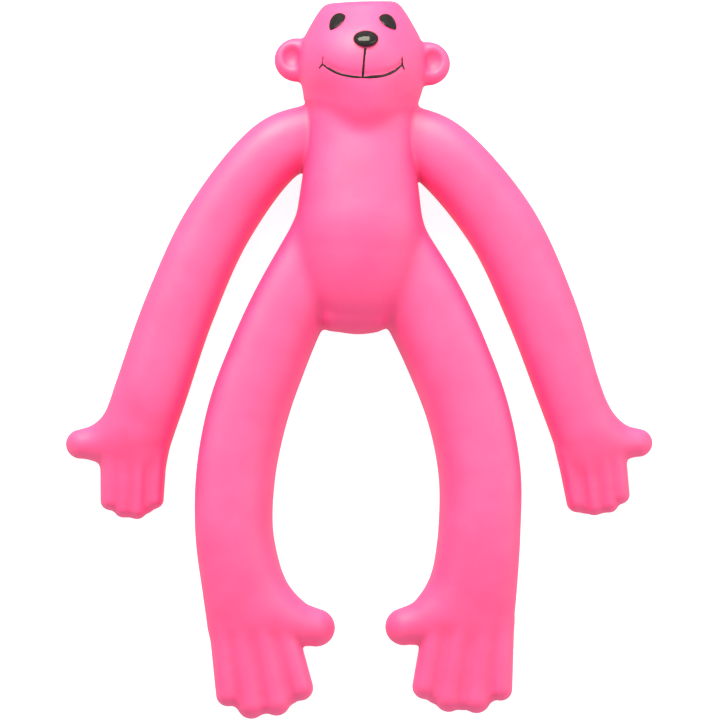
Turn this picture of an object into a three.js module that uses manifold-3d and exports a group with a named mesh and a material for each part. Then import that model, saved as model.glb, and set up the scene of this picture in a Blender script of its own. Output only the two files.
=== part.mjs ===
// A soft moulded toy monkey with long arms and legs, lying on its back.
// Millimetres. +X is to the right of the toy as seen from above, +Y runs from the feet to the head,
// and +Z points up, out of the face and the belly. The toy rests on z = 0, and the origin is under
// the middle of its outline. The whole figure is one moulding, so it is one mesh.
import * as THREE from "three";
import { mergeVertices } from "three/addons/utils/BufferGeometryUtils.js";
import Module from "manifold-3d";

const wasm = await Module();
wasm.setup();

// Colour and finish of the rubber.
const RUBBER_PINK = 0xff5a9e;
const RUBBER_ROUGHNESS = 0.5;

// The underside is pressed flat where it rests: everything inside this box, below z = 0, is cut off.
const FLOOR_BOX = [400, 400, 60];

// Torso: rows of [x, y, z of the axis, half width, half depth], from the neck to the belly. The
// domed end is some multiple of the half width long, and SQUARE is the power of the sections.
const TORSO = [
  [0.4, 80, 15, 16.7, 14.9],
  [0.4, 71, 15.5, 17.2, 15.7],
  [0.3, 62, 16.1, 18, 16.5],
  [0.2, 53, 16.7, 19.2, 17],
  [0.1, 46, 17, 20.1, 17.4],
  [0.1, 40, 16.9, 20.6, 17.3],
  [0, 35, 16.3, 20.6, 17],
];
const TORSO_REACH = 1.29;
const TORSO_SQUARE = 2.15;

// The skin between the thighs: rows as for the torso.
const CROTCH = [
  [-8.2, 14.6, 11, 6, 10.5],
  [4.6, 14.6, 11, 6, 10.5],
];

// Head: rows as for the torso, from the crown to the jaw. The crown is cut flat by an upright plane
// through CROWN_TOP that is turned by CROWN_TILT degrees.
const SKULL = [
  [0.95, 117, 13.4, 10.4, 10.4],
  [0.95, 112.9, 14, 13.1, 12.2],
  [0.95, 108.9, 14.5, 15.6, 13.9],
  [0.95, 102.6, 15.2, 18.8, 15.6],
  [1, 95.6, 16.2, 20.1, 16.6],
  [0.85, 89, 16, 19.8, 16.4],
  [0.35, 83, 15.1, 18.2, 15.2],
];
const CROWN_REACH = 0.3;
const JAW_REACH = 0.26;
const CROWN_TOP = [0, 114.8];
const CROWN_TILT = 2;

const MUZZLE = { at: [1.0, 96.6, 21.3], radii: [16.5, 14.9, 16.1] };
const THROAT = { at: [1.3, 80, 18.5], radii: [9.6, 11.6, 14.7] };
const NOSE = { at: [2.2, 102.9], radii: [4.1, 2.8, 2.2] };
const EYES = [
  { at: [-6.9, 108.1], turn: 45 },
  { at: [9.2, 107.9], turn: -38 },
];
const EYE_RADII = [3.3, 2.0, 1.2];

// Ears: a round plate on each side of the skull with a shallow dish in its front.
const EARS = [
  { side: -1, at: [-19.9, 96.2, 15.6] },
  { side: 1, at: [22.0, 95.0, 15.6] },
];
const EAR_RADII = [7.2, 7.0, 3.5];
const DISH = { out: 1.9, up: 1.1, rise: 4.3, radii: [3.7, 4.4, 3.5], turn: 20 };

// Limbs: rows as for the torso. An arm runs from inside the shoulder to the palm, and a leg from
// inside the hip to the sole. Their crests lean outwards.
const LEFT_ARM = [
  [-11.9, 72.6, 11.2, 10.4, 9],
  [-27.7, 66.3, 12.2, 10.5, 10.8],
  [-45.1, 43.6, 11, 11.1, 11.2],
  [-57.4, 16.9, 10.8, 11.4, 11.1],
  [-66.4, -9, 10.4, 11.6, 10.6],
  [-70.5, -21.5, 9, 11.4, 9.3],
  [-72.1, -29, 7.6, 10.8, 7.8],
];
const RIGHT_ARM = [
  [12.4, 71.8, 11.2, 10.9, 9],
  [27.1, 65.2, 12.2, 11.2, 10.8],
  [45.6, 43.1, 11, 11.5, 11.2],
  [58.2, 16.3, 10.6, 11.3, 10.9],
  [66.8, -8.6, 9.7, 10.4, 9.9],
  [71.3, -21, 8.8, 10.3, 9.1],
  [73.9, -29, 7.6, 10.2, 7.8],
];
const LEFT_LEG = [
  [-10.5, 37.4, 13.2, 12.5, 11.6],
  [-22.1, 17.1, 12.7, 12.4, 12.2],
  [-29.9, -0.6, 12.3, 12.7, 12.6],
  [-35.9, -17.8, 12.2, 12.9, 12.5],
  [-39.5, -36.5, 12.1, 12.7, 12.4],
  [-40, -55.5, 11.6, 12.5, 11.9],
  [-37.1, -73, 10, 13.2, 10.3],
  [-34.9, -83, 8.4, 14, 8.6],
];
const RIGHT_LEG = [
  [8.5, 37.6, 13.2, 13.1, 11.6],
  [20.5, 17.5, 12.7, 13.4, 12.2],
  [29.2, -1.2, 12.3, 13.3, 12.6],
  [35.3, -18.2, 12.2, 13.2, 12.5],
  [38.7, -36.5, 12.1, 13.2, 12.4],
  [38.6, -55, 11.6, 13.2, 11.9],
  [37, -71.5, 10.1, 13.8, 10.4],
  [35.5, -82.5, 8.4, 14.3, 8.6],
];
const ARM_LEAN = 0.1;
const LEG_LEAN = 0.2;
const ARM_SQUARE = 2.3;
const LEG_SQUARE = 2.4;
const PALM_REACH = 1.1;

// Fingers and toes of each side, from the thumb out: the x and y of the root, the x and y of the
// middle of the rounded tip, and the half width there.
const FINGERS = [
  [
    [-79.7, -29, -80, -45.2, 3],
    [-75.4, -29, -75.7, -47.7, 2.9],
    [-70.4, -29, -71.2, -48.2, 2.9],
    [-64.8, -29, -65.6, -44.8, 2.9],
  ],
  [
    [82.3, -29, 83.9, -43.2, 3],
    [78.2, -29, 80.4, -46.2, 2.8],
    [73.2, -29, 75.6, -47, 2.9],
    [67, -29, 70, -45.5, 3.4],
  ],
];
const TOES = [
  [
    [-25.2, -84, -18.9, -105.2, 4.2],
    [-31.9, -84, -26.5, -109.8, 4.4],
    [-38.6, -84, -34.6, -110.7, 4.5],
    [-44.1, -84, -42.1, -107.4, 3.8],
  ],
  [
    [25.4, -83.5, 21.2, -104.8, 4.1],
    [33, -83.5, 28.8, -108.6, 4.4],
    [40.4, -83.5, 37.7, -108.9, 4.5],
    [45.8, -83.5, 45.5, -105.7, 3.7],
  ],
];
const FINGER_TOP = 10.2;
const TOE_TOP = 12.4;
const ROOT_FLARE = 1.1;
const DIGIT_SQUARE = 2.2;
// Between two digits a web fills the gap, and at the tips it is lower than they are by the groove.
const FINGER_GROOVE = 1;
const TOE_GROOVE = 1.4;
const WEB_SHARE = 0.5;

// Thumbs and big toes: rows as for the torso, from inside the palm or the sole to the tip.
const HAND_THUMBS = [
  [
    [-74.0, -23.4, 7.7, 8.4, 7.5],
    [-83.0, -26.1, 6.8, 6.3, 6.6],
    [-89.4, -27.0, 5.8, 4.7, 5.6],
  ],
  [
    [76.2, -23.8, 7.7, 8.2, 7.5],
    [83.8, -25.9, 6.8, 5.8, 6.6],
    [89.7, -26.6, 5.8, 4.5, 5.6],
  ],
];
const FOOT_THUMBS = [
  [
    [-28.6, -80.4, 8.6, 10.9, 8.2],
    [-20.5, -84.4, 7.9, 7.6, 7.7],
    [-13.8, -85.9, 6.8, 6.1, 6.6],
  ],
  [
    [28.4, -79.6, 8.6, 11.3, 8.2],
    [21.3, -84.0, 7.9, 7.9, 7.7],
    [14.4, -85.7, 6.8, 6.0, 6.6],
  ],
];

/** Uniform Catmull-Rom through rows of numbers, with u from 0 at the first row to 1 at the last. */
function between(rows, u) {
  const spans = rows.length - 1;
  const i = Math.min(Math.floor(u * spans), spans - 1);
  const f = u * spans - i;
  const [b, c] = [rows[i], rows[i + 1]];
  const a = rows[i - 1] ?? b.map((v, k) => 2 * v - c[k]);
  const d = rows[i + 2] ?? c.map((v, k) => 2 * v - b[k]);
  return b.map((_, k) => {
    const pull = 2 * a[k] - 5 * b[k] + 4 * c[k] - d[k];
    const bend = 3 * (b[k] - c[k]) + d[k] - a[k];
    return b[k] + 0.5 * f * (c[k] - a[k] + f * (pull + f * bend));
  });
}

/** A closed limb: an ellipse carried along rows of [x, y, z, half width, half depth], with domed
 * ends. The width lies across the path in the plane of the floor. An end's dome is reach times as
 * long as the half width there, and the far one keeps the slope of the last rows. A power over 2 makes the sections squarer. The crest leans to the
 * left of the path by a share of its height, and the ellipse is narrowed so the width stays true. */
function limb(rows, options = {}) {
  const { around = 18, along = 14, dome = 3, startReach = 1, endReach = 1, power = 2, lean = 0 } = options;
  const points = [];
  const dual = power / (power - 1);
  const bent = (v) => Math.sign(v) * Math.abs(v) ** (2 / power);
  const ring = (u, latitude, reach) => {
    const [x0, y0, z0, , depth0] = between(rows, Math.max(u - 0.01, 0));
    const [x1, y1, z1, , depth1] = between(rows, Math.min(u + 0.01, 1));
    const ahead = new THREE.Vector2(x1 - x0, y1 - y0);
    const stretch = ahead.length();
    ahead.normalize();
    const past = Math.sin(latitude);
    let [x, y, z, width, depth] = between(rows, u);
    const push = width * reach * past;
    const beyond = Math.max(push, 0) / stretch;
    z += (z1 - z0) * beyond;
    depth += (depth1 - depth0) * beyond;
    const core = (width ** dual - Math.abs(lean * depth) ** dual) ** (1 / dual);
    const high = depth * (1 - Math.abs(past) ** power) ** (1 / power);
    for (let k = 0; k < around; k++) {
      const turn = (2 * Math.PI * k) / around;
      const up = high * bent(Math.sin(turn));
      const across = core * Math.cos(latitude) * bent(Math.cos(turn)) + lean * up;
      points.push(x + ahead.x * push - ahead.y * across, y + ahead.y * push + ahead.x * across, z + up);
    }
  };
  const tip = (u, reach) => {
    const [x, y, z, width] = between(rows, u);
    const [bx, by] = between(rows, u ? 1 - 0.01 : 0.01);
    const out = new THREE.Vector2(x - bx, y - by).normalize().multiplyScalar(width * reach);
    points.push(x + out.x, y + out.y, z);
  };
  tip(0, startReach);
  for (let i = dome - 1; i > 0; i--) ring(0, (-i / dome) * (Math.PI / 2), startReach);
  for (let i = 0; i <= along; i++) ring(i / along, 0, 0);
  for (let i = 1; i < dome; i++) ring(1, (i / dome) * (Math.PI / 2), endReach);
  tip(1, endReach);
  const rings = along + 1 + 2 * (dome - 1);
  const last = rings * around + 1;
  const faces = [];
  for (let k = 0; k < around; k++) {
    const next = (k + 1) % around;
    faces.push(0, 1 + next, 1 + k);
    for (let i = 0; i < rings - 1; i++) {
      const [a, b] = [1 + i * around, 1 + (i + 1) * around];
      faces.push(a + k, a + next, b + next, a + k, b + next, b + k);
    }
    const end = last - around;
    faces.push(end + k, end + next, last);
  }
  const geometry = new THREE.BufferGeometry();
  geometry.setAttribute("position", new THREE.Float32BufferAttribute(points, 3));
  geometry.setIndex(faces);
  return geometry;
}

/** A ball scaled to three radii, turned about Z by degrees, and moved to its place. */
function ellipsoid(at, radii, { turn = 0, wide = 18, high = 12 } = {}) {
  const geometry = new THREE.SphereGeometry(1, wide, high);
  geometry.scale(...radii);
  geometry.rotateZ(THREE.MathUtils.degToRad(turn));
  return geometry.translate(...at);
}

/** A closed geometry as a solid. */
function solid(geometry) {
  const bare = geometry.clone();
  bare.deleteAttribute("normal");
  bare.deleteAttribute("uv");
  const merged = mergeVertices(bare, 1e-4);
  const made = new wasm.Manifold(
    new wasm.Mesh({
      numProp: 3,
      vertProperties: new Float32Array(merged.attributes.position.array),
      triVerts: new Uint32Array(merged.index.array),
    }),
  );
  if (made.volume() <= 0) throw new Error("a piece is inside out");
  return made;
}

function geometryOf(made) {
  const { vertProperties, triVerts } = made.getMesh();
  const geometry = new THREE.BufferGeometry();
  geometry.setAttribute("position", new THREE.BufferAttribute(vertProperties, 3));
  geometry.setIndex(new THREE.BufferAttribute(triVerts, 1));
  geometry.computeVertexNormals();
  return geometry;
}

const joined = (parts) => parts.reduce((whole, part) => whole.add(part));

/** The height of a solid's top over a point in plan. */
function heightOf(made) {
  const mesh = new THREE.Mesh(geometryOf(made));
  return (x, y) => {
    const down = new THREE.Raycaster(new THREE.Vector3(x, y, 100), new THREE.Vector3(0, 0, -1));
    return down.intersectObject(mesh)[0].point.z;
  };
}

/** Straight digits that start level with the palm and run down to the height of their tips, with a
 * web between each and the next. */
function digits(rows, palm, tipTop, groove) {
  const top = heightOf(palm);
  const bars = rows.map(([x0, y0, x1, y1, width]) => ({
    root: [x0, y0],
    tip: [x1, y1],
    width,
    tops: [Math.max(top(x0, y0), tipTop), tipTop],
  }));
  const webs = bars.slice(1).map((bar, i) => {
    const last = bars[i];
    const middle = (end) => [0, 1].map((k) => (bar[end][k] + last[end][k]) / 2);
    const gap = Math.hypot(bar.root[0] - last.root[0], bar.root[1] - last.root[1]);
    const tops = [(bar.tops[0] + last.tops[0]) / 2 - 0.4 * groove, tipTop - groove];
    return { root: middle("root"), tip: middle("tip"), width: WEB_SHARE * gap, tops };
  });
  const bar = ({ root, tip, width, tops: [high, low] }, around) => {
    const ends = [
      [...root, high / 2, width * ROOT_FLARE, high / 2],
      [...tip, low / 2, width, low / 2],
    ];
    return solid(limb(ends, { around, along: 1, power: DIGIT_SQUARE }));
  };
  return [...bars.map((one) => bar(one, 10)), ...webs.map((one) => bar(one, 6))];
}

/** One limb: the palm's rows, its thumb, and its digits. */
function side(rows, shape, thumb, digitRows, tipTop, groove) {
  const outward = Math.sign(rows.at(-1)[0]);
  const palm = solid(limb(rows, { ...shape, lean: shape.lean * outward, endReach: PALM_REACH }));
  const mitt = palm.add(solid(limb(thumb, { around: 12, along: 4 })));
  return joined([mitt, ...digits(digitRows, mitt, tipTop, groove)]);
}

function arms() {
  const shape = { around: 16, along: 12, lean: ARM_LEAN, power: ARM_SQUARE };
  return [LEFT_ARM, RIGHT_ARM].map((rows, i) =>
    side(rows, shape, HAND_THUMBS[i], FINGERS[i], FINGER_TOP, FINGER_GROOVE),
  );
}

function legs() {
  const shape = { around: 16, along: 14, lean: LEG_LEAN, power: LEG_SQUARE };
  return [LEFT_LEG, RIGHT_LEG].map((rows, i) =>
    side(rows, shape, FOOT_THUMBS[i], TOES[i], TOE_TOP, TOE_GROOVE),
  );
}

function torso() {
  const shape = { around: 24, along: 8, dome: 5, endReach: TORSO_REACH, power: TORSO_SQUARE };
  return solid(limb(TORSO, shape)).add(solid(limb(CROTCH, { around: 12, along: 1 })));
}

/** The skull with its flat crown, its muzzle and the two dished ears. */
function head() {
  const shape = { around: 24, along: 10, startReach: CROWN_REACH, endReach: JAW_REACH };
  const beyond = new THREE.BoxGeometry(80, 40, 80).translate(0, 20, 0);
  beyond.rotateZ(THREE.MathUtils.degToRad(CROWN_TILT)).translate(...CROWN_TOP, 0);
  const skull = solid(limb(SKULL, shape)).subtract(solid(beyond));
  const muzzle = solid(ellipsoid(MUZZLE.at, MUZZLE.radii, { wide: 20, high: 12 }));
  const throat = solid(ellipsoid(THROAT.at, THROAT.radii, { wide: 18, high: 12 }));
  const ears = EARS.map(({ side, at: [x, y, z] }) => {
    const plate = solid(ellipsoid([x, y, z], EAR_RADII, { wide: 18, high: 10 }));
    const dishAt = [x + side * DISH.out, y + DISH.up, z + DISH.rise];
    const dish = ellipsoid(dishAt, DISH.radii, { turn: -DISH.turn * side, wide: 12, high: 8 });
    return plate.subtract(solid(dish));
  });
  return joined([skull, muzzle, throat, ...ears]);
}

/** Nose and eyes: low domes seated on the face. */
function features(face) {
  const top = heightOf(face);
  const seat = ([x, y]) => [x, y, top(x, y)];
  const nose = solid(ellipsoid(seat(NOSE.at), NOSE.radii, { wide: 14, high: 8 }));
  const eyes = EYES.map(({ at, turn }) => solid(ellipsoid(seat(at), EYE_RADII, { turn, wide: 12, high: 6 })));
  return [nose, ...eyes];
}

function floorBelow() {
  const [width, length, height] = FLOOR_BOX;
  return solid(new THREE.BoxGeometry(width, length, height).translate(0, 0, -height / 2));
}

const face = head();
const body = joined([torso(), face, ...features(face), ...arms(), ...legs()]);
const rubber = new THREE.MeshStandardMaterial({
  color: RUBBER_PINK,
  roughness: RUBBER_ROUGHNESS,
  metalness: 0,
});
const monkey = new THREE.Mesh(geometryOf(body.subtract(floorBelow())), rubber);
monkey.name = "monkey";

const toy = new THREE.Group();
toy.add(monkey);

export default toy;
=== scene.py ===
"""A soft moulded toy monkey with long arms and legs, lying on its back, with a painted face.

The skin is one smooth closed surface. Its parts are distance fields: the torso, skull, limbs and
digits are squarish ellipses carried along paths, and the muzzle, chin and ears are ellipsoids. The
fields are joined with soft fillets, the joined field is meshed on a grid, and the mesh is then
drawn onto the exact surface. The paint is a set of thin closed films that follow the skin.

Lengths are in millimetres until a mesh is made, in the frame's axes: +X to the right of the toy
as seen from above, +Y from the feet to the head, and +Z up, out of the face.
"""

import math

import bpy
import numpy as np
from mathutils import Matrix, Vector


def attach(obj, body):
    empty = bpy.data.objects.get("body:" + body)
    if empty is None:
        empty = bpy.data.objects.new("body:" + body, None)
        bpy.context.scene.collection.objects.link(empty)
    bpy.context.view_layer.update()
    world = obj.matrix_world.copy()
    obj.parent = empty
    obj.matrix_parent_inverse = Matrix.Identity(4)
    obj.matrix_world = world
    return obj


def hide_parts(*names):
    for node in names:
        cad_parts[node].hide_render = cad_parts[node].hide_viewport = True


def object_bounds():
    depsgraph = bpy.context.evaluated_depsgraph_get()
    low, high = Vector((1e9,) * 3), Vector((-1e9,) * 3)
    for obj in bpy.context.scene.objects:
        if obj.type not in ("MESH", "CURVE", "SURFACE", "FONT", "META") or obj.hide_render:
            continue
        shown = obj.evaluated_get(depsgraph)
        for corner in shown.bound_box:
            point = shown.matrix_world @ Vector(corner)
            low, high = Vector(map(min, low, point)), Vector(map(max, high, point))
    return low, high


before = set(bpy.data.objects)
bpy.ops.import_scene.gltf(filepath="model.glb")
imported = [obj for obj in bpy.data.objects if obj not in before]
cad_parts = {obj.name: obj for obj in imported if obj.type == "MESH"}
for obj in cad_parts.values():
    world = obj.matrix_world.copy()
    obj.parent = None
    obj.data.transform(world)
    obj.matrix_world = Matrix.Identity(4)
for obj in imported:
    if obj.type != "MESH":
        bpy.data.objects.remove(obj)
cad_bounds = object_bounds()

MM = 0.001

# The grid's cell, the distance given where no shape is near, and how far past a shape's widest
# part its own distance is still worked out.
CELL = 0.89
FAR = 40.0
ROOM = 7.0

# The torso and the skull: rows of x, y, height of the axis, half width, half depth. The dome at
# each end is some share of the half width there long.
TORSO = [
    (0.4, 80.0, 15.0, 16.7, 14.9),
    (0.4, 71.0, 15.5, 17.2, 15.7),
    (0.3, 62.0, 16.1, 18.0, 16.5),
    (0.2, 53.0, 16.7, 19.2, 17.0),
    (0.1, 46.0, 17.0, 20.1, 17.4),
    (0.1, 40.0, 16.9, 20.6, 17.3),
    (0.0, 35.0, 16.3, 20.6, 17.0),
]
TORSO_ENDS = (1.0, 1.29)
TORSO_SQUARE = 2.15
SKULL = [
    (0.95, 117.0, 13.4, 10.4, 10.4),
    (0.95, 112.9, 14.0, 13.1, 12.2),
    (0.95, 108.9, 14.5, 15.6, 13.9),
    (0.95, 102.6, 15.2, 18.8, 15.6),
    (1.0, 95.6, 16.2, 20.1, 16.6),
    (0.85, 89.0, 16.0, 19.8, 16.4),
    (0.35, 83.0, 15.1, 18.2, 15.2),
]
SKULL_ENDS = (0.3, 0.26)
CROWN_TOP = (0.0, 114.8)
CROWN_TILT = 2.0

# Features of the head: the middle of each, and its half lengths along x, y and z. An ear also has
# its side. Its dish is set off from its middle by so much outwards, along y and along z, and
# is turned by degrees.
MUZZLE = (1.0, 96.6, 21.2)
MUZZLE_RADII = (16.4, 14.8, 15.9)
CHIN = (1.6, 87.0, 20.3)
CHIN_RADII = (12.0, 17.5, 15.0)
EARS = [(-1, (-19.9, 96.2, 15.6)), (1, (22.0, 95.0, 15.6))]
EAR_RADII = (7.2, 7.0, 3.5)
DISH_OFFSET = (1.9, 1.1, 4.3)
DISH_RADII = (3.7, 4.4, 3.5)
DISH_TURN = 20.0

# The skin between the thighs: rows as for the torso.
CROTCH = [(-8.2, 14.6, 11.0, 5.4, 10.5), (4.6, 14.6, 11.0, 5.4, 10.5)]

# The limbs, from the shoulder or the hip: rows as for the torso.
LEFT_ARM = [
    (-11.9, 72.6, 11.2, 10.4, 9.0),
    (-27.7, 66.3, 12.2, 10.5, 10.8),
    (-45.1, 43.6, 11.0, 11.1, 11.2),
    (-57.4, 16.9, 10.8, 11.4, 11.1),
    (-66.4, -9.0, 10.4, 11.6, 10.6),
    (-70.5, -21.5, 9.0, 11.4, 9.3),
    (-72.1, -29.0, 7.6, 10.8, 7.8),
]
RIGHT_ARM = [
    (12.4, 71.8, 11.2, 10.9, 9.0),
    (27.1, 65.2, 12.2, 11.2, 10.8),
    (45.6, 43.1, 11.0, 11.5, 11.2),
    (58.2, 16.3, 10.6, 11.3, 10.9),
    (66.8, -8.6, 9.7, 10.4, 9.9),
    (71.3, -21.0, 8.8, 10.3, 9.1),
    (73.9, -29.0, 7.6, 10.2, 7.8),
]
LEFT_LEG = [
    (-10.5, 37.4, 13.2, 12.5, 11.6),
    (-22.1, 17.1, 12.7, 12.4, 12.2),
    (-29.9, -0.6, 12.3, 12.7, 12.6),
    (-35.9, -17.8, 12.2, 12.9, 12.5),
    (-39.5, -36.5, 12.1, 12.7, 12.4),
    (-40.0, -55.5, 11.6, 12.5, 11.9),
    (-37.1, -73.0, 10.0, 13.2, 10.3),
    (-34.9, -83.0, 8.4, 14.0, 8.6),
]
RIGHT_LEG = [
    (8.5, 37.6, 13.2, 13.1, 11.6),
    (20.5, 17.5, 12.7, 13.4, 12.2),
    (29.2, -1.2, 12.3, 13.3, 12.6),
    (35.3, -18.2, 12.2, 13.2, 12.5),
    (38.7, -36.5, 12.1, 13.2, 12.4),
    (38.6, -55.0, 11.6, 13.2, 11.9),
    (37.0, -71.5, 10.1, 13.8, 10.4),
    (35.5, -82.5, 8.4, 14.3, 8.6),
]
PALM_END = 1.1
ARM_SQUARE = 2.3
LEG_SQUARE = 2.4
ARM_LEAN = 0.1
LEG_LEAN = 0.2

# The digits of each hand and foot, in order from the one beside the thumb or the big toe: x and y
# of the root, x and y of the middle of the tip, and half width.
FINGERS = [
    [
        (-79.7, -29.0, -80.0, -45.2, 3.0),
        (-75.4, -29.0, -75.7, -47.7, 2.9),
        (-70.4, -29.0, -71.2, -48.2, 2.9),
        (-64.8, -29.0, -65.6, -44.8, 2.9),
    ],
    [
        (82.3, -29.0, 83.9, -43.2, 3.0),
        (78.2, -29.0, 80.4, -46.2, 2.8),
        (73.2, -29.0, 75.6, -47.0, 2.9),
        (67.0, -29.0, 70.0, -45.5, 3.4),
    ],
]
TOES = [
    [
        (-25.2, -84.0, -18.9, -105.2, 4.2),
        (-31.9, -84.0, -26.5, -109.8, 4.4),
        (-38.6, -84.0, -34.6, -110.7, 4.5),
        (-44.1, -84.0, -42.1, -107.4, 3.8),
    ],
    [
        (25.4, -83.5, 21.2, -104.8, 4.1),
        (33.0, -83.5, 28.8, -108.6, 4.4),
        (40.4, -83.5, 37.7, -108.9, 4.5),
        (45.8, -83.5, 45.5, -105.7, 3.7),
    ],
]
DIGIT_SQUARE = 2.2

# How high the tips stand, and how far the webs sink below them.
FINGER_TOP = 10.2
TOE_TOP = 12.4
FINGER_GROOVE = 1.1
TOE_GROOVE = 1.5

# A digit's root lies this far below the palm's skin and is this much wider than its tip. A web
# sinks at its root by a share of the groove, and its half width is a share of the digits' spacing.
ROOT_SINK = 0.6
ROOT_FLARE = 1.1
WEB_ROOT = 0.4
WEB_WIDTH = 0.5

# The thumb of each hand and the big toe of each foot: rows as for the torso, from inside the palm
# or the sole to the tip.
HAND_THUMBS = [
    [(-74.0, -23.0, 7.7, 7.4, 7.5), (-83.0, -26.2, 6.8, 6.0, 6.6), (-89.4, -27.0, 5.8, 4.7, 5.6)],
    [(76.2, -23.4, 7.7, 7.2, 7.5), (83.7, -26.0, 6.8, 5.6, 6.6), (89.7, -26.6, 5.8, 4.5, 5.6)],
]
FOOT_THUMBS = [
    [(-29.6, -79.8, 8.6, 9.0, 8.2), (-20.6, -84.3, 7.9, 7.3, 7.7), (-13.8, -85.9, 6.8, 6.1, 6.6)],
    [(29.4, -79.0, 8.6, 9.2, 8.2), (21.4, -83.8, 7.9, 7.4, 7.7), (14.4, -85.6, 6.8, 6.0, 6.6)],
]

# The paint. A leaf is half its length, its widths above and below the middle line, and how far
# one end is drawn to a point. An eye is its side, its middle, and the degrees it is turned by. A
# stroke is x, y and the brush's width at each point.
EYES = [(-1, (-6.9, 108.1), 45.0), (1, (9.2, 107.9), 142.0)]
EYE_LEAF = (3.4, 2.9, 1.3, 0.2)
EYE_SWELL = 0.8
NOSE = (2.2, 102.85)
NOSE_LEAF = (4.05, 2.7, 2.7, 0.0)
NOSE_SWELL = 2.0
SMILE = [
    (-11.9, 94.9, 0.5),
    (-9.0, 92.9, 0.85),
    (-5.6, 91.4, 0.75),
    (-1.7, 90.7, 0.8),
    (1.3, 90.5, 0.6),
    (3.8, 90.6, 0.95),
    (7.7, 91.0, 0.8),
    (11.2, 92.4, 0.85),
    (13.8, 94.5, 0.5),
]
STROKES = [
    SMILE,
    [(2.0, 99.9, 0.85), (1.6, 95.7, 0.7), (1.25, 91.4, 0.8), (1.1, 90.2, 0.4)],
    [(-11.6, 97.1, 0.25), (-11.6, 95.1, 0.6), (-12.8, 93.4, 0.4)],
    [(13.8, 97.2, 0.25), (13.9, 94.6, 0.65), (14.6, 93.0, 0.35)],
]

# How high a stroke stands over its edge, how high the edge stands over the skin, and how far the
# film goes into the skin. The lip is the shallow groove that the smile is painted in.
STROKE_RISE = 0.12
PAINT_EDGE = 0.05
PAINT_ROOT = 0.25
LIP_WIDTH = 2.0
LIP_DEPTH = 0.15

# How wide the soft join is where shapes meet, from the two surfaces' distances.
HIP_FILLET = 3.2
SHOULDER_FILLET = 2.2
NECK_FILLET = 3.5
FACE_FILLET = 7.0
EAR_FILLET = 2.2
DISH_FILLET = 1.6
LIP_FILLET = 1.6
HAND_FILLET = 7.0
FOOT_FILLET = 8.0
DIGIT_FILLET = 1.6
CROWN_FILLET = 4.0
FLOOR_FILLET = 0.9


def smooth_path(rows, count):
    """Catmull-Rom through rows of numbers, sampled evenly from the first row to the last."""
    rows = np.asarray(rows, float)
    padded = np.vstack([2 * rows[0] - rows[1], rows, 2 * rows[-1] - rows[-2]])
    u = np.linspace(0, len(rows) - 1, count)
    i = np.minimum(u.astype(int), len(rows) - 2)
    f = (u - i)[:, None]
    a, b, c, d = (padded[i + k] for k in range(4))
    pull = 2 * a - 5 * b + 4 * c - d
    bend = 3 * (b - c) + d - a
    return b + 0.5 * f * (c - a + f * (pull + f * bend))


def soft_min(a, b, fillet):
    """The lesser of two distances, rounded off where they differ by less than the fillet."""
    near = np.maximum(fillet - np.abs(a - b), 0) / fillet
    return np.minimum(a, b) - near**3 * fillet / 6


def soft_max(a, b, fillet):
    """The greater of two distances, rounded off where they differ by less than the fillet."""
    return -soft_min(-a, -b, fillet)


def ellipse_distance(plan, plan_radii, rise, depth, square=2.0):
    """About how far a point is outside a shape whose plan is an ellipse and whose sections are
    squarer with a higher power. With r the plan offsets over their radii, c the rise over the
    depth, and n = (|r|^p + |c|^p)^(1/p), it is (n - 1) over the slope of n."""
    (a, b), (wide, long) = plan, plan_radii
    a, b, c = a / wide, b / long, np.abs(rise / depth)
    round_part = a**2 + b**2
    tilt = (a / wide) ** 2 + (b / long) ** 2
    if square == 2.0:
        norm = np.sqrt(round_part + c**2)
        slope = np.sqrt(tilt + (c / depth) ** 2)
        gain = norm
    else:
        spread = np.maximum(round_part, 1e-9) ** (square - 2)
        norm = (round_part ** (square / 2) + c**square) ** (1 / square)
        slope = np.sqrt(spread * tilt + (c ** (square - 1) / depth) ** 2)
        gain = norm ** (square - 1)
    inside = np.minimum(np.minimum(wide, long), depth)
    return (norm - 1) * np.where(norm > 1e-3, gain / np.maximum(slope, 1e-9), inside)


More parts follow.
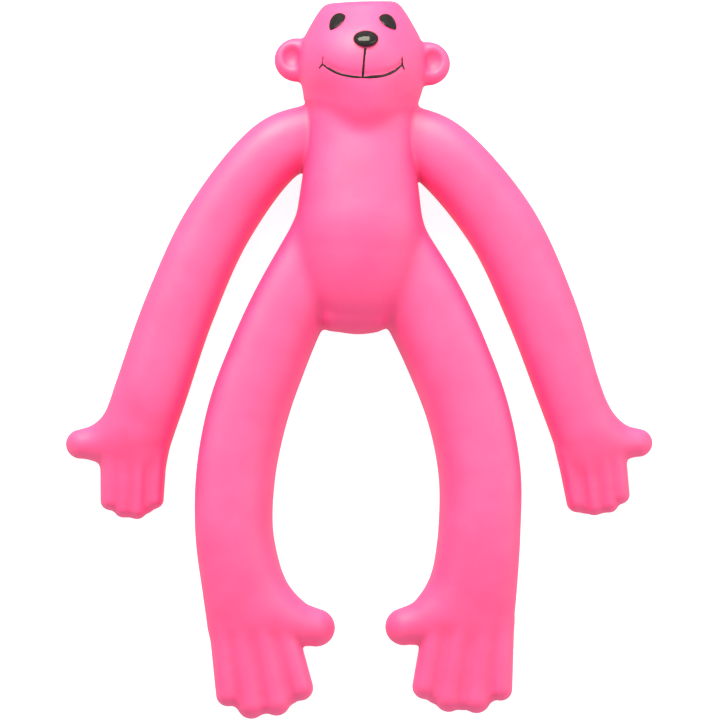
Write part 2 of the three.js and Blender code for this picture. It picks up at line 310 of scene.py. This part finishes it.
class Limb:
    """An ellipse carried along rows of x, y, height, half width, half depth. Its end domes are start
    and end times as long as the half width there, and the far one keeps the slope of the last rows,
    so that no edge shows where it begins. Its crest leans to the left of its path, and the
    ellipse is then narrower by as much as the lean widens it, so the half width stays true."""

    def __init__(self, rows, start=1.0, end=1.0, square=2.0, lean=0.0):
        path = smooth_path(rows, 24 * (len(rows) - 1) + 1)
        self.xy = path[:, :2]
        self.sizes = path[:, 2:]
        self.ends = (start, end)
        self.square = square
        self.lean = lean
        power = square / (square - 1)
        leaned = (abs(lean) * path[:, 4]) ** power
        self.core = np.maximum(path[:, 3] ** power - leaned, 1.0) ** (1 / power)
        step = np.gradient(self.xy, axis=0)
        self.ahead = step / np.linalg.norm(step, axis=1, keepdims=True)
        gaps = np.linalg.norm(np.diff(self.xy, axis=0), axis=1)
        self.run = np.concatenate([[0.0], np.cumsum(gaps)])
        self.growth = (self.sizes[-1] - self.sizes[-2]) / gaps[-1]
        reach = path[:, 3].max() + ROOM
        self.low = self.xy.min(0) - reach
        self.high = self.xy.max(0) + reach

    def distance(self, x, y, z):
        """x and y are columns (m,) and z is (m, k)."""
        gap = (x[:, None] - self.xy[:, 0]) ** 2 + (y[:, None] - self.xy[:, 1]) ** 2
        i = gap.argmin(1)
        dx = x - self.xy[i, 0]
        dy = y - self.xy[i, 1]
        tx, ty = self.ahead[i].T
        at = self.run[i] + dx * tx + dy * ty
        held = np.clip(at, 0, self.run[-1])
        height, width, depth = (np.interp(held, self.run, size)[:, None] for size in self.sizes.T)
        past = (at - held)[:, None]
        beyond = np.minimum(np.maximum(past, 0), width)
        height = height + self.growth[0] * beyond
        depth = depth + self.growth[2] * beyond
        core = np.interp(held, self.run, self.core)[:, None]
        across = (dy * tx - dx * ty)[:, None] - self.lean * (z - height)
        dome = width * np.where(past < 0, *self.ends)
        return ellipse_distance((across, past), (core, dome), z - height, depth, self.square)


class Ball:
    """An ellipsoid turned about Z by degrees."""

    def __init__(self, at, radii, turn=0.0):
        self.at = at
        self.radii = radii
        self.turn = math.radians(turn)
        reach = max(radii[:2]) + ROOM
        self.low = np.array(at[:2]) - reach
        self.high = np.array(at[:2]) + reach

    def distance(self, x, y, z):
        dx, dy = x - self.at[0], y - self.at[1]
        c, s = math.cos(self.turn), math.sin(self.turn)
        plan = ((dx * c + dy * s)[:, None], (dy * c - dx * s)[:, None])
        return ellipse_distance(plan, self.radii[:2], z - self.at[2], self.radii[2])


class Beyond:
    """Everything past an upright plane through a point, which faces a number of degrees from +Y."""

    def __init__(self, at, tilt):
        self.at = at
        self.facing = (-math.sin(math.radians(tilt)), math.cos(math.radians(tilt)))
        self.low = np.array([-np.inf, -np.inf])
        self.high = np.array([np.inf, np.inf])

    def distance(self, x, y, z):
        past = (x - self.at[0]) * self.facing[0] + (y - self.at[1]) * self.facing[1]
        return np.broadcast_to(-past[:, None], z.shape)


class Joined:
    """Shapes joined in order. Each entry is a shape, its fillet, and whether it is taken away."""

    def __init__(self, *entries):
        self.entries = entries
        kept = [shape for shape, _, taken in entries if not taken]
        self.low = np.min([shape.low for shape in kept], axis=0)
        self.high = np.max([shape.high for shape in kept], axis=0)

    def distance(self, x, y, z):
        out = np.full(z.shape, FAR)
        for shape, fillet, taken in self.entries:
            near = (x > shape.low[0]) & (x < shape.high[0]) & (y > shape.low[1]) & (y < shape.high[1])
            if not near.any():
                continue
            other = shape.distance(x[near], y[near], z[near])
            mixed = soft_max(out[near], -other, fillet) if taken else soft_min(out[near], other, fillet)
            out[near] = mixed
        return out


class OnFloor:
    """A shape pressed flat where it would go below the floor."""

    def __init__(self, shape):
        self.shape = shape

    def distance(self, x, y, z):
        return soft_max(self.shape.distance(x, y, z), -z, FLOOR_FILLET)


def skin_height(shape, x, y, start=44.0, steps=60, share=0.8):
    """The height of the topmost surface over each point, found by stepping down from a height above
    all of it, each time by a share of the distance."""
    z = np.full(x.shape, start)
    for _ in range(steps):
        z -= share * shape.distance(x, y, z[:, None])[:, 0]
    return z


def digits(rows, palm, tip_top, groove):
    """Straight digits that start just under the palm's own skin and run down to the height of their
    tips, with a web between each and the next, which sinks below them towards the tips."""
    rows = np.array(rows)
    tops = np.maximum(skin_height(palm, rows[:, 0], rows[:, 1]) - ROOT_SINK, tip_top)
    bars = [(*row, top, tip_top) for row, top in zip(rows, tops)]
    for near, far, top, next_top in zip(rows, rows[1:], tops, tops[1:]):
        middle = (near + far) / 2
        middle[4] = WEB_WIDTH * np.linalg.norm(near[:2] - far[:2])
        bars.append((*middle, (top + next_top) / 2 - WEB_ROOT * groove, tip_top - groove))
    shapes = []
    for x0, y0, x1, y1, width, top, end in bars:
        root = (x0, y0, top / 2, ROOT_FLARE * width, top / 2)
        tip = (x1, y1, end / 2, width, end / 2)
        shapes.append((Limb([root, tip], square=DIGIT_SQUARE), DIGIT_FILLET, False))
    return shapes


def limbs(sides, square, lean, thumbs, fillet, digit_rows, tip_top, groove):
    """Both arms or both legs, with crests that lean outwards. The thumb is joined to the palm with a
    wide fillet, and then the other digits with a narrow one, which leaves a crease beside it."""
    shapes = []
    for side, thumb, rows in zip(sides, thumbs, digit_rows):
        palm = Limb(side, 1.0, PALM_END, square, math.copysign(lean, side[-1][0]))
        mitt = Joined((palm, 1.0, False), (Limb(thumb), fillet, False))
        shapes.append(Joined((mitt, 1.0, False), *digits(rows, mitt, tip_top, groove)))
    return shapes


def bare_head():
    """Skull, muzzle and ears. The dish of each ear is taken from its plate alone."""
    parts = [
        (Limb(SKULL, *SKULL_ENDS), 1.0, False),
        (Beyond(CROWN_TOP, CROWN_TILT), CROWN_FILLET, True),
        (Ball(MUZZLE, MUZZLE_RADII), FACE_FILLET, False),
        (Ball(CHIN, CHIN_RADII), FACE_FILLET, False),
    ]
    for side, (x, y, z) in EARS:
        out, up, rise = DISH_OFFSET
        plate = Ball((x, y, z), EAR_RADII)
        dish = Ball((x + side * out, y + up, z + rise), DISH_RADII, -DISH_TURN * side)
        parts.append((Joined((plate, 1.0, False), (dish, DISH_FILLET, True)), EAR_FILLET, False))
    return Joined(*parts)


def lip_groove(head):
    """A shallow groove along the smile, sunk into the head."""
    smile = np.array(SMILE)
    heights = skin_height(head, smile[:, 0], smile[:, 1])
    sizes = np.tile([LIP_WIDTH / 2, LIP_DEPTH], (len(smile), 1))
    return Limb(np.column_stack([smile[:, :2], heights, sizes]))


def monkey_shape():
    """Torso, legs, arms and head, joined in that order, with the groove of the smile cut last."""
    head = bare_head()
    legs = limbs(
        (LEFT_LEG, RIGHT_LEG), LEG_SQUARE, LEG_LEAN, FOOT_THUMBS, FOOT_FILLET, TOES, TOE_TOP, TOE_GROOVE
    )
    arms = limbs(
        (LEFT_ARM, RIGHT_ARM), ARM_SQUARE, ARM_LEAN, HAND_THUMBS, HAND_FILLET, FINGERS, FINGER_TOP,
        FINGER_GROOVE,
    )
    return OnFloor(
        Joined(
            (Limb(TORSO, *TORSO_ENDS, TORSO_SQUARE), 1.0, False),
            (Limb(CROTCH), HIP_FILLET, False),
            *[(leg, HIP_FILLET, False) for leg in legs],
            *[(arm, SHOULDER_FILLET, False) for arm in arms],
            (head, NECK_FILLET, False),
            (lip_groove(head), LIP_FILLET, True),
        )
    )


def surface_net(values, low, cell):
    """Points and quads of a grid's zero surface: one point in each cell that the surface crosses,
    at the mean of its crossings, and one quad round each grid edge that it crosses."""
    cells, spots, quads = [], [], []
    strides = np.array([values.shape[1] * values.shape[2], values.shape[2], 1])
    for axis in range(3):
        first = np.moveaxis(values, axis, 0)[:-1]
        second = np.moveaxis(values, axis, 0)[1:]
        found = np.argwhere((first < 0) != (second < 0))
        a, b = first[tuple(found.T)], second[tuple(found.T)]
        order = [axis] + [k for k in range(3) if k != axis]
        index = np.empty_like(found)
        index[:, order] = found
        spot = index.astype(float)
        spot[:, axis] += a / (a - b)
        u, v = (axis + 1) % 3, (axis + 2) % 3
        edge = index @ strides
        back = ((0, 0), (1, 0), (1, 1), (0, 1))
        quad = np.stack([edge - strides[u] * i - strides[v] * j for i, j in back], axis=1)
        quads.append(np.where((a < 0)[:, None], quad, quad[:, ::-1]))
        cells.append(quad.ravel())
        spots.append(np.repeat(spot, 4, axis=0))
    _, which, count = np.unique(np.concatenate(cells), return_inverse=True, return_counts=True)
    spots = np.concatenate(spots)
    points = np.stack([np.bincount(which, spots[:, k]) for k in range(3)], axis=1) / count[:, None]
    kept = np.unique(np.concatenate(cells))
    faces = np.searchsorted(kept, np.concatenate(quads))
    return low + cell * points, faces


def relaxed(points, faces, share=0.5, rounds=3):
    """Each point moved part of the way to the mean of its neighbours."""
    a = faces.ravel()
    b = np.roll(faces, -1, axis=1).ravel()
    count = np.bincount(a, minlength=len(points))[:, None]
    for _ in range(rounds):
        mean = np.stack([np.bincount(a, points[b, k], minlength=len(points)) for k in range(3)], axis=1)
        points = points + share * (mean / count - points)
    return points


def drawn_onto(shape, points, rounds=2, step=0.05):
    """Points moved onto the exact surface along the field's slope."""
    for _ in range(rounds):
        x, y, z = points.T
        here = shape.distance(x, y, z[:, None])[:, 0]
        slope = np.empty_like(points)
        for k in range(3):
            ahead = points.copy()
            ahead[:, k] += step
            moved = shape.distance(ahead[:, 0], ahead[:, 1], ahead[:, 2:])[:, 0]
            slope[:, k] = (moved - here) / step
        size = np.maximum((slope**2).sum(1), 0.2)
        move = -here[:, None] * slope / size[:, None]
        points = points + np.clip(move, -CELL, CELL)
    return points


def hollowness(points, faces, full=0.18):
    """1 at the foot of a tight crease and 0 where the skin is flat or bulges, from how far the mean
    of a point's neighbours stands out of the skin there, in millimetres."""
    corner = points[faces]
    facing = np.cross(corner[:, 2] - corner[:, 0], corner[:, 3] - corner[:, 1])
    a, b = faces.ravel(), np.roll(faces, -1, axis=1).ravel()
    spread = np.repeat(facing, 4, axis=0)
    count = np.bincount(a, minlength=len(points))
    normal = np.stack([np.bincount(a, spread[:, k], minlength=len(points)) for k in range(3)], axis=1)
    mean = np.stack([np.bincount(a, points[b, k], minlength=len(points)) for k in range(3)], axis=1)
    normal /= np.linalg.norm(normal, axis=1, keepdims=True)
    out = ((mean / count[:, None] - points) * normal).sum(1)
    value = np.clip(out / full, 0, 1)
    for _ in range(3):
        value = (value + np.bincount(a, value[b], minlength=len(points)) / count) / 2
    return value


def shape_mesh(shape, low, high, batches=12):
    """Points and quads of a shape's surface within a box. The field is worked out in batches of
    columns, to keep its arrays small."""
    x, y, z = (np.arange(low[k], high[k], CELL) for k in range(3))
    columns = np.array(np.meshgrid(x, y, indexing="ij")).reshape(2, -1)
    values = np.empty((columns.shape[1], len(z)))
    for part in np.array_split(np.arange(columns.shape[1]), batches):
        heights = np.broadcast_to(z, (len(part), len(z)))
        values[part] = shape.distance(columns[0, part], columns[1, part], heights)
    values = values.reshape(len(x), len(y), len(z))
    points, faces = surface_net(values, np.array([x[0], y[0], z[0]]), CELL)
    points = drawn_onto(shape, relaxed(points, faces))
    points = drawn_onto(shape, relaxed(points, faces, share=0.4, rounds=1), rounds=1)
    points[:, 2] = np.maximum(points[:, 2], 0.0)
    return points, faces


def new_piece(name, points, faces, material):
    """A smooth closed mesh object, with its points given in millimetres."""
    mesh = bpy.data.meshes.new(name)
    mesh.from_pydata((np.asarray(points) * MM).tolist(), [], faces)
    mesh.update()
    mesh.shade_smooth()
    mesh.materials.append(material)
    piece = bpy.data.objects.new(name, mesh)
    bpy.context.scene.collection.objects.link(piece)
    return piece


# Paint


def leaf_outline(half_length, above, below, point, turn, count=72):
    """A closed curve about the origin: half_length cos t along, and above or below times sin t
    across, drawn in towards the low end by ((1 + cos t) / 2) to the power of point."""
    t = np.linspace(0, 2 * math.pi, count, endpoint=False)
    u = half_length * np.cos(t)
    v = np.where(np.sin(t) > 0, above, below) * np.sin(t) * ((1 + np.cos(t)) / 2) ** point
    c, s = math.cos(math.radians(turn)), math.sin(math.radians(turn))
    return np.stack([u * c - v * s, u * s + v * c], axis=1)


def tube(rings):
    """Points and faces of a closed surface through rings of points (m, n, 3), capped at both ends.
    Seen against the way the rings run, each goes round anticlockwise."""
    rows, count = rings.shape[:2]
    index = np.arange(rows * count).reshape(rows, count)
    after = np.roll(index, -1, axis=1)
    quads = np.stack([index[:-1], index[1:], after[1:], after[:-1]], axis=-1).reshape(-1, 4)
    faces = [*quads.tolist(), index[0].tolist(), index[-1, ::-1].tolist()]
    return rings.reshape(-1, 3), faces


def on_skin(shape, plan, rise):
    """Places (m, n, 2) raised to the skin, and then by the rise."""
    flat = plan.reshape(-1, 2)
    height = skin_height(shape, flat[:, 0], flat[:, 1]).reshape(plan.shape[:2])
    return np.dstack([plan, height + rise])


def leaf_film(shape, at, outline, swell):
    """A painted boss. Its top swells by (1 - r^3)^(1/2) from the rim in, and its underside is just
    inside the skin."""
    over = np.sin(np.linspace(0.04, math.pi / 2, 16))
    under = np.array([1.0, 0.6, 0.1])
    share = np.concatenate([over, under])[:, None]
    top = swell * np.sqrt(1 - np.minimum(over, 1.0) ** 3) + PAINT_EDGE
    rise = np.concatenate([top, np.full(3, -PAINT_ROOT)])[:, None]
    plan = np.array(at) + share[:, :, None] * outline
    return tube(on_skin(shape, plan, rise))


def stroke_film(shape, rows):
    """A brush stroke through rows of x, y and width, with a rounded top and its underside just
    inside the skin."""
    path = smooth_path(rows, 14 * (len(rows) - 1) + 1)
    ahead = np.gradient(path[:, :2], axis=0)
    ahead /= np.linalg.norm(ahead, axis=1, keepdims=True)
    left = np.stack([-ahead[:, 1], ahead[:, 0]], axis=1)
    across = np.array([-1.0, -0.6, 0.0, 0.6, 1.0, 1.0, 0.0, -1.0])
    rise = np.where(np.arange(8) < 5, STROKE_RISE * (1 - across**2) + PAINT_EDGE, -PAINT_ROOT)
    half = path[:, 2, None] / 2 * across
    plan = path[:, None, :2] + half[:, :, None] * left[:, None]
    return tube(on_skin(shape, plan, rise))


def make_paint(shape, material):
    """A film for each eye and one for the nose, and the mouth's strokes as one piece."""
    films = {}
    for side, at, turn in EYES:
        length, above, below, point = EYE_LEAF
        sides = (above, below) if side < 0 else (below, above)
        outline = leaf_outline(length, *sides, point, turn)
        name = "eye_paint_left" if side < 0 else "eye_paint_right"
        films[name] = [leaf_film(shape, at, outline, EYE_SWELL)]
    films["nose_paint"] = [leaf_film(shape, NOSE, leaf_outline(*NOSE_LEAF, 0.0), NOSE_SWELL)]
    films["mouth_paint"] = [stroke_film(shape, rows) for rows in STROKES]
    for name, parts in films.items():
        points, faces, start = [], [], 0
        for part, part_faces in parts:
            points.append(part)
            faces += [[start + i for i in face] for face in part_faces]
            start += len(part)
        film = new_piece(name, np.vstack(points), faces, material)
        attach(film, "root")


# Materials

LATEX_DEEP = (0.88, 0.031, 0.222, 1)
LATEX_PALE = (0.93, 0.043, 0.246, 1)
# Painted shade: the darker latex colour that is mixed in where the skin is hollow, in the creases.
LATEX_CREASE_SHADE = (0.76, 0.018, 0.170, 1)
PAINT_DEEP = (0.006, 0.004, 0.005, 1)
PAINT_WORN = (0.014, 0.010, 0.011, 1)


def node_material(name):
    material = bpy.data.materials.new(name)
    material.use_nodes = True
    nodes, links = material.node_tree.nodes, material.node_tree.links
    return material, nodes, links, nodes["Principled BSDF"]


def add_noise(nodes, links, scale, detail=2.0, roughness=0.5):
    """Noise on object coordinates, with scale in features per metre."""
    place = nodes.new("ShaderNodeTexCoord")
    noise = nodes.new("ShaderNodeTexNoise")
    noise.inputs["Scale"].default_value = scale
    noise.inputs["Detail"].default_value = detail
    noise.inputs["Roughness"].default_value = roughness
    links.new(place.outputs["Object"], noise.inputs["Vector"])
    return noise.outputs["Fac"]


def add_ramp(nodes, links, value, stops):
    ramp = nodes.new("ShaderNodeValToRGB")
    first, last = ramp.color_ramp.elements
    (first.position, first.color), (last.position, last.color) = stops
    links.new(value, ramp.inputs["Fac"])
    return ramp.outputs["Color"]


def add_range(nodes, links, value, low, high):
    """A 0 to 1 value spread from low to high."""
    spread = nodes.new("ShaderNodeMapRange")
    spread.inputs["To Min"].default_value = low
    spread.inputs["To Max"].default_value = high
    links.new(value, spread.inputs["Value"])
    return spread.outputs["Result"]


def add_bump(nodes, links, height, distance, strength):
    bump = nodes.new("ShaderNodeBump")
    bump.inputs["Distance"].default_value = distance
    bump.inputs["Strength"].default_value = strength
    links.new(height, bump.inputs["Height"])
    return bump.outputs["Normal"]


def latex_material():
    """Satin pink latex: cloudy colour, uneven gloss and a faintly uneven skin, with painted shade in
    the creases, where the colour is darker and the coat is taken away."""
    material, nodes, links, shader = node_material("pink_latex")
    cloud = add_noise(nodes, links, 90.0, detail=3.0)
    colour = add_ramp(nodes, links, cloud, ((0.35, LATEX_DEEP), (0.65, LATEX_PALE)))
    # Painted shade: the skin's hollowness darkens the colour and takes away the coat in the creases.
    crease_shade = nodes.new("ShaderNodeAttribute")
    crease_shade.attribute_name = "crease_shade"
    mix = nodes.new("ShaderNodeMix")
    mix.data_type = "RGBA"
    mix.inputs["B"].default_value = LATEX_CREASE_SHADE
    links.new(crease_shade.outputs["Fac"], mix.inputs["Factor"])
    links.new(colour, mix.inputs["A"])
    links.new(mix.outputs["Result"], shader.inputs["Base Color"])
    links.new(add_range(nodes, links, crease_shade.outputs["Fac"], 0.5, 0.0), shader.inputs["Coat Weight"])
    gloss = add_noise(nodes, links, 160.0, detail=3.0)
    links.new(add_range(nodes, links, gloss, 0.54, 0.64), shader.inputs["Roughness"])
    skin = add_noise(nodes, links, 170.0, detail=4.0)
    links.new(add_bump(nodes, links, skin, 0.0006, 0.25), shader.inputs["Normal"])
    shader.inputs["Specular IOR Level"].default_value = 1.0
    shader.inputs["Specular Tint"].default_value = (1.0, 1.0, 0.7, 1)
    shader.inputs["Coat Roughness"].default_value = 0.6
    return material


def paint_material():
    """Black gloss enamel brushed on by hand."""
    material, nodes, links, shader = node_material("black_paint")
    brush = add_noise(nodes, links, 900.0, detail=2.0)
    colour = add_ramp(nodes, links, brush, ((0.3, PAINT_DEEP), (0.7, PAINT_WORN)))
    links.new(colour, shader.inputs["Base Color"])
    links.new(add_range(nodes, links, brush, 0.08, 0.18), shader.inputs["Roughness"])
    links.new(add_bump(nodes, links, brush, 0.0001, 0.2), shader.inputs["Normal"])
    shader.inputs["Specular IOR Level"].default_value = 0.35
    return material


# Stage, in metres

# The tent: its brightness below one rise of the line of sight and above another, with the two
# rises first, and the way in which rise is measured, which leans towards the head.
TENT = (-0.15, 0.15, 0.4, 0.82)
TENT_UP = (0.0, 0.4, 1.0)

# The lights: where each is, its two sides, and its power in watts. Both face the origin.
LIGHT_COLOUR = (1.0, 0.98, 0.76)
KEY = ((-0.2, 1.0, 0.75), (1.3, 0.6), 31.5)
FILL = ((1.1, 0.1, 0.6), (0.6, 1.2), 4.5)

# The table top is this far each way, and just under the toy.
TABLE_HALF = 3.0
TABLE_DROP = 0.0002

# The camera: its lens and sensor in millimetres, the width that it sees at a height above the
# table, and how far it is to the right of the origin.
LENS = 1500.0
SENSOR = 36.0
SEEN = 0.2310
SEEN_HEIGHT = 0.012
CAMERA_RIGHT = 0.00032


def floor():
    """A wide white table top, which glows a little and isn't seen in the toy's gloss."""
    material, _, _, shader = node_material("white_table")
    shader.inputs["Base Color"].default_value = (0.45, 0.45, 0.45, 1)
    shader.inputs["Roughness"].default_value = 0.8
    shader.inputs["Specular IOR Level"].default_value = 0.0
    shader.inputs["Emission Color"].default_value = (1, 1, 1, 1)
    shader.inputs["Emission Strength"].default_value = 0.85
    signs = ((-1, -1), (1, -1), (1, 1), (-1, 1))
    edge = [(TABLE_HALF / MM * i, TABLE_HALF / MM * j, 0) for i, j in signs]
    table = new_piece("table_top", edge, [(0, 1, 2, 3)], material)
    table.location.z = -TABLE_DROP
    table.visible_glossy = False


def area_light(name, place, size, power):
    """A rectangular light that faces the origin, with its longer way as its two sides say."""
    light = bpy.data.lights.new(name, "AREA")
    light.shape = "RECTANGLE"
    light.size, light.size_y = size
    light.energy = power
    light.color = LIGHT_COLOUR
    lamp = bpy.data.objects.new(name, light)
    lamp.location = place
    lamp.rotation_euler = (-Vector(place)).to_track_quat("-Z", "Y").to_euler()
    bpy.context.scene.collection.objects.link(lamp)


def studio():
    """A white tent that is dimmer low down and towards the feet, a large soft light beyond the head,
    and a weak one to the right."""
    world = bpy.data.worlds.new("studio")
    world.use_nodes = True
    nodes, links = world.node_tree.nodes, world.node_tree.links
    way = nodes.new("ShaderNodeTexCoord")
    rise = nodes.new("ShaderNodeVectorMath")
    rise.operation = "DOT_PRODUCT"
    rise.inputs[1].default_value = TENT_UP
    links.new(way.outputs["Generated"], rise.inputs[0])
    spread = nodes.new("ShaderNodeMapRange")
    for socket, value in zip(("From Min", "From Max", "To Min", "To Max"), TENT):
        spread.inputs[socket].default_value = value
    links.new(rise.outputs["Value"], spread.inputs["Value"])
    links.new(spread.outputs["Result"], nodes["Background"].inputs["Strength"])
    nodes["Background"].inputs["Color"].default_value = (1, 1, 1, 1)
    bpy.context.scene.world = world
    bpy.context.scene.view_settings.view_transform = "Standard"
    area_light("key", *KEY)
    area_light("fill", *FILL)


def camera():
    """Straight above, with a long lens, and the head at the top."""
    away = SEEN * LENS / SENSOR
    data = bpy.data.cameras.new("camera")
    data.lens = LENS
    data.sensor_width = SENSOR
    data.clip_end = 2 * away
    view = bpy.data.objects.new("camera", data)
    view.location = (CAMERA_RIGHT, 0.0, SEEN_HEIGHT + away)
    bpy.context.scene.collection.objects.link(view)
    bpy.context.scene.camera = view


def make_skin(shape, material):
    """The skin, meshed in a box a little larger than the solid that it replaces."""
    low = [v / MM - 2 * CELL for v in cad_bounds[0]]
    high = [v / MM + 2.5 * CELL for v in cad_bounds[1]]
    points, faces = shape_mesh(shape, low, high)
    skin = new_piece("toy_skin", points, faces.tolist(), material)
    # How hollow the skin is at each point, which the latex uses for painted shade in the creases.
    crease_shade = skin.data.attributes.new("crease_shade", "FLOAT", "POINT")
    crease_shade.data.foreach_set("value", hollowness(points, faces))
    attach(skin, "root")
    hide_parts("monkey")


monkey = monkey_shape()
make_skin(monkey, latex_material())
make_paint(monkey, paint_material())
floor()
studio()
camera()
